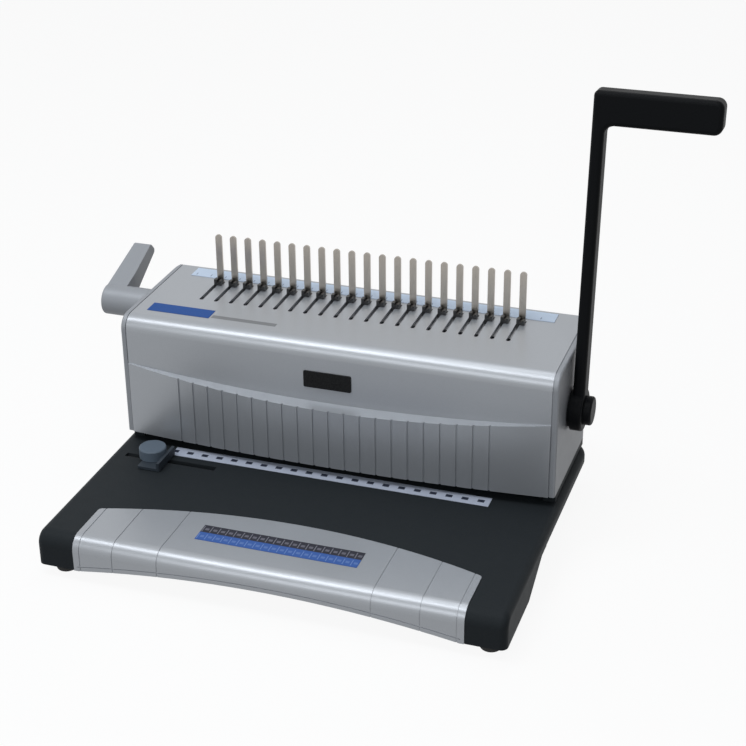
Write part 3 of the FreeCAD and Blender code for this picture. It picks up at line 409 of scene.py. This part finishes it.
# The sky's strength falls from its left, where X is -1, to its right.
SKY_COLOUR = (0.9, 0.95, 1.0, 1.0)
SKY_RANGE = {"From Min": -1.0, "From Max": 0.6, "To Min": 0.5, "To Max": 0.02}

WHITE = (1.0, 1.0, 1.0, 1.0)
LAMP_COLOUR = (0.94, 0.97, 1.0)


def seen_as_white(tree, lit, glow, strength=1.0):
    """Mix a shader with a white glow that only eyes, mirrors and glass see."""
    path = tree.nodes.new("ShaderNodeLightPath")
    seen = path.outputs["Is Camera Ray"]
    for name in ("Is Glossy Ray", "Is Transmission Ray"):
        either = tree.nodes.new("ShaderNodeMath")
        either.operation = "MAXIMUM"
        tree.links.new(seen, either.inputs[0])
        tree.links.new(path.outputs[name], either.inputs[1])
        seen = either.outputs[0]
    share = tree.nodes.new("ShaderNodeMath")
    share.operation = "MULTIPLY"
    tree.links.new(seen, share.inputs[0])
    share.inputs[1].default_value = strength
    white = tree.nodes.new(glow)
    white.inputs["Color"].default_value = WHITE
    mix = tree.nodes.new("ShaderNodeMixShader")
    tree.links.new(share.outputs[0], mix.inputs[0])
    tree.links.new(lit, mix.inputs[1])
    tree.links.new(white.outputs[0], mix.inputs[2])
    return mix.outputs[0]


def floor_paint():
    """Pale matt paint that throws only a little light back at the machine."""
    finish = Finish("floor_paint", FLOOR_COLOUR, roughness=0.9)
    bounce = finish.add("ShaderNodeLightPath").outputs["Is Diffuse Ray"]
    finish.feed("Base Color", finish.blend(bounce, colour(FLOOR_COLOUR), colour(FLOOR_BOUNCE)))
    surface = seen_as_white(finish.tree, finish.shader.outputs[0], "ShaderNodeEmission", FLOOR_GLOW)
    finish.tree.links.new(surface, finish.tree.nodes["Material Output"].inputs["Surface"])
    return finish.material


def floor():
    """A plain pale floor under the machine."""
    reach = FLOOR_REACH * MM
    mesh = bpy.data.meshes.new("floor")
    corners = [(-reach, -reach, 0), (reach, -reach, 0), (reach, reach, 0), (-reach, reach, 0)]
    mesh.from_pydata(corners, [], [(0, 1, 2, 3)])
    mesh.materials.append(floor_paint())
    ground = bpy.data.objects.new("floor", mesh)
    bpy.context.scene.collection.objects.link(ground)


def world():
    """Studio surroundings that dim towards the right, white where they are seen."""
    surroundings = bpy.data.worlds.new("studio")
    bpy.context.scene.world = surroundings
    surroundings.use_nodes = True
    tree = surroundings.node_tree
    sky = tree.nodes["Background"]
    sky.inputs["Color"].default_value = SKY_COLOUR
    split = tree.nodes.new("ShaderNodeSeparateXYZ")
    tree.links.new(tree.nodes.new("ShaderNodeTexCoord").outputs["Generated"], split.inputs[0])
    dim = tree.nodes.new("ShaderNodeMapRange")
    for socket, value in SKY_RANGE.items():
        dim.inputs[socket].default_value = value
    tree.links.new(split.outputs["X"], dim.inputs["Value"])
    tree.links.new(dim.outputs[0], sky.inputs["Strength"])
    surface = seen_as_white(tree, sky.outputs[0], "ShaderNodeBackground")
    tree.links.new(surface, tree.nodes["World Output"].inputs["Surface"])


def softbox(name, at, aim, wide, tall, power):
    """A rectangular soft light that faces a place on the machine, with its power in watts."""
    lamp = bpy.data.lights.new(name, "AREA")
    lamp.shape = "RECTANGLE"
    lamp.size = wide * MM
    lamp.size_y = tall * MM
    lamp.energy = power
    lamp.color = LAMP_COLOUR
    light = bpy.data.objects.new(name, lamp)
    bpy.context.scene.collection.objects.link(light)
    light.location = place(*at)
    light.rotation_euler = (place(*aim) - light.location).to_track_quat("-Z", "Y").to_euler()


def lights():
    """Two long softboxes overhead and a wider one in front."""
    softbox("key_light", at=(-300, -600, 1700), aim=(-200, -100, 100), wide=2400, tall=450, power=13.5)
    softbox("ceiling_light", at=(-300, 50, 1750), aim=(-200, 0, 100), wide=2400, tall=350, power=9)
    softbox("front_light", at=(-100, -2300, 1300), aim=(0, -100, 80), wide=2000, tall=900, power=13)


# Camera, with its angles in degrees

CAMERA_AT = (458.25, -1323.20, 799.88)
CAMERA_AZIMUTH = 18.93
CAMERA_ELEVATION = 26.81
CAMERA_ROLL = -0.585
LENS = 82.49
SENSOR = 36.0
FARTHEST = 50000


def camera():
    """Set the camera at the photograph's place and angle."""
    data = bpy.data.cameras.new("photo_camera")
    data.lens = LENS
    data.sensor_width = SENSOR
    data.clip_end = FARTHEST * MM
    view = bpy.data.objects.new("photo_camera", data)
    bpy.context.scene.collection.objects.link(view)
    turn = Matrix.Rotation(math.radians(CAMERA_AZIMUTH), 4, "Z")
    tip = Matrix.Rotation(math.radians(90 - CAMERA_ELEVATION), 4, "X")
    roll = Matrix.Rotation(math.radians(CAMERA_ROLL), 4, "Z")
    view.matrix_world = Matrix.Translation(place(*CAMERA_AT)) @ turn @ tip @ roll
    bpy.context.scene.camera = view


paint_parts()
for side in ("left", "right"):
    shortening_spring(side + "_return_spring")
floor()
world()
lights()
camera()
bpy.context.scene.view_settings.view_transform = "Standard"
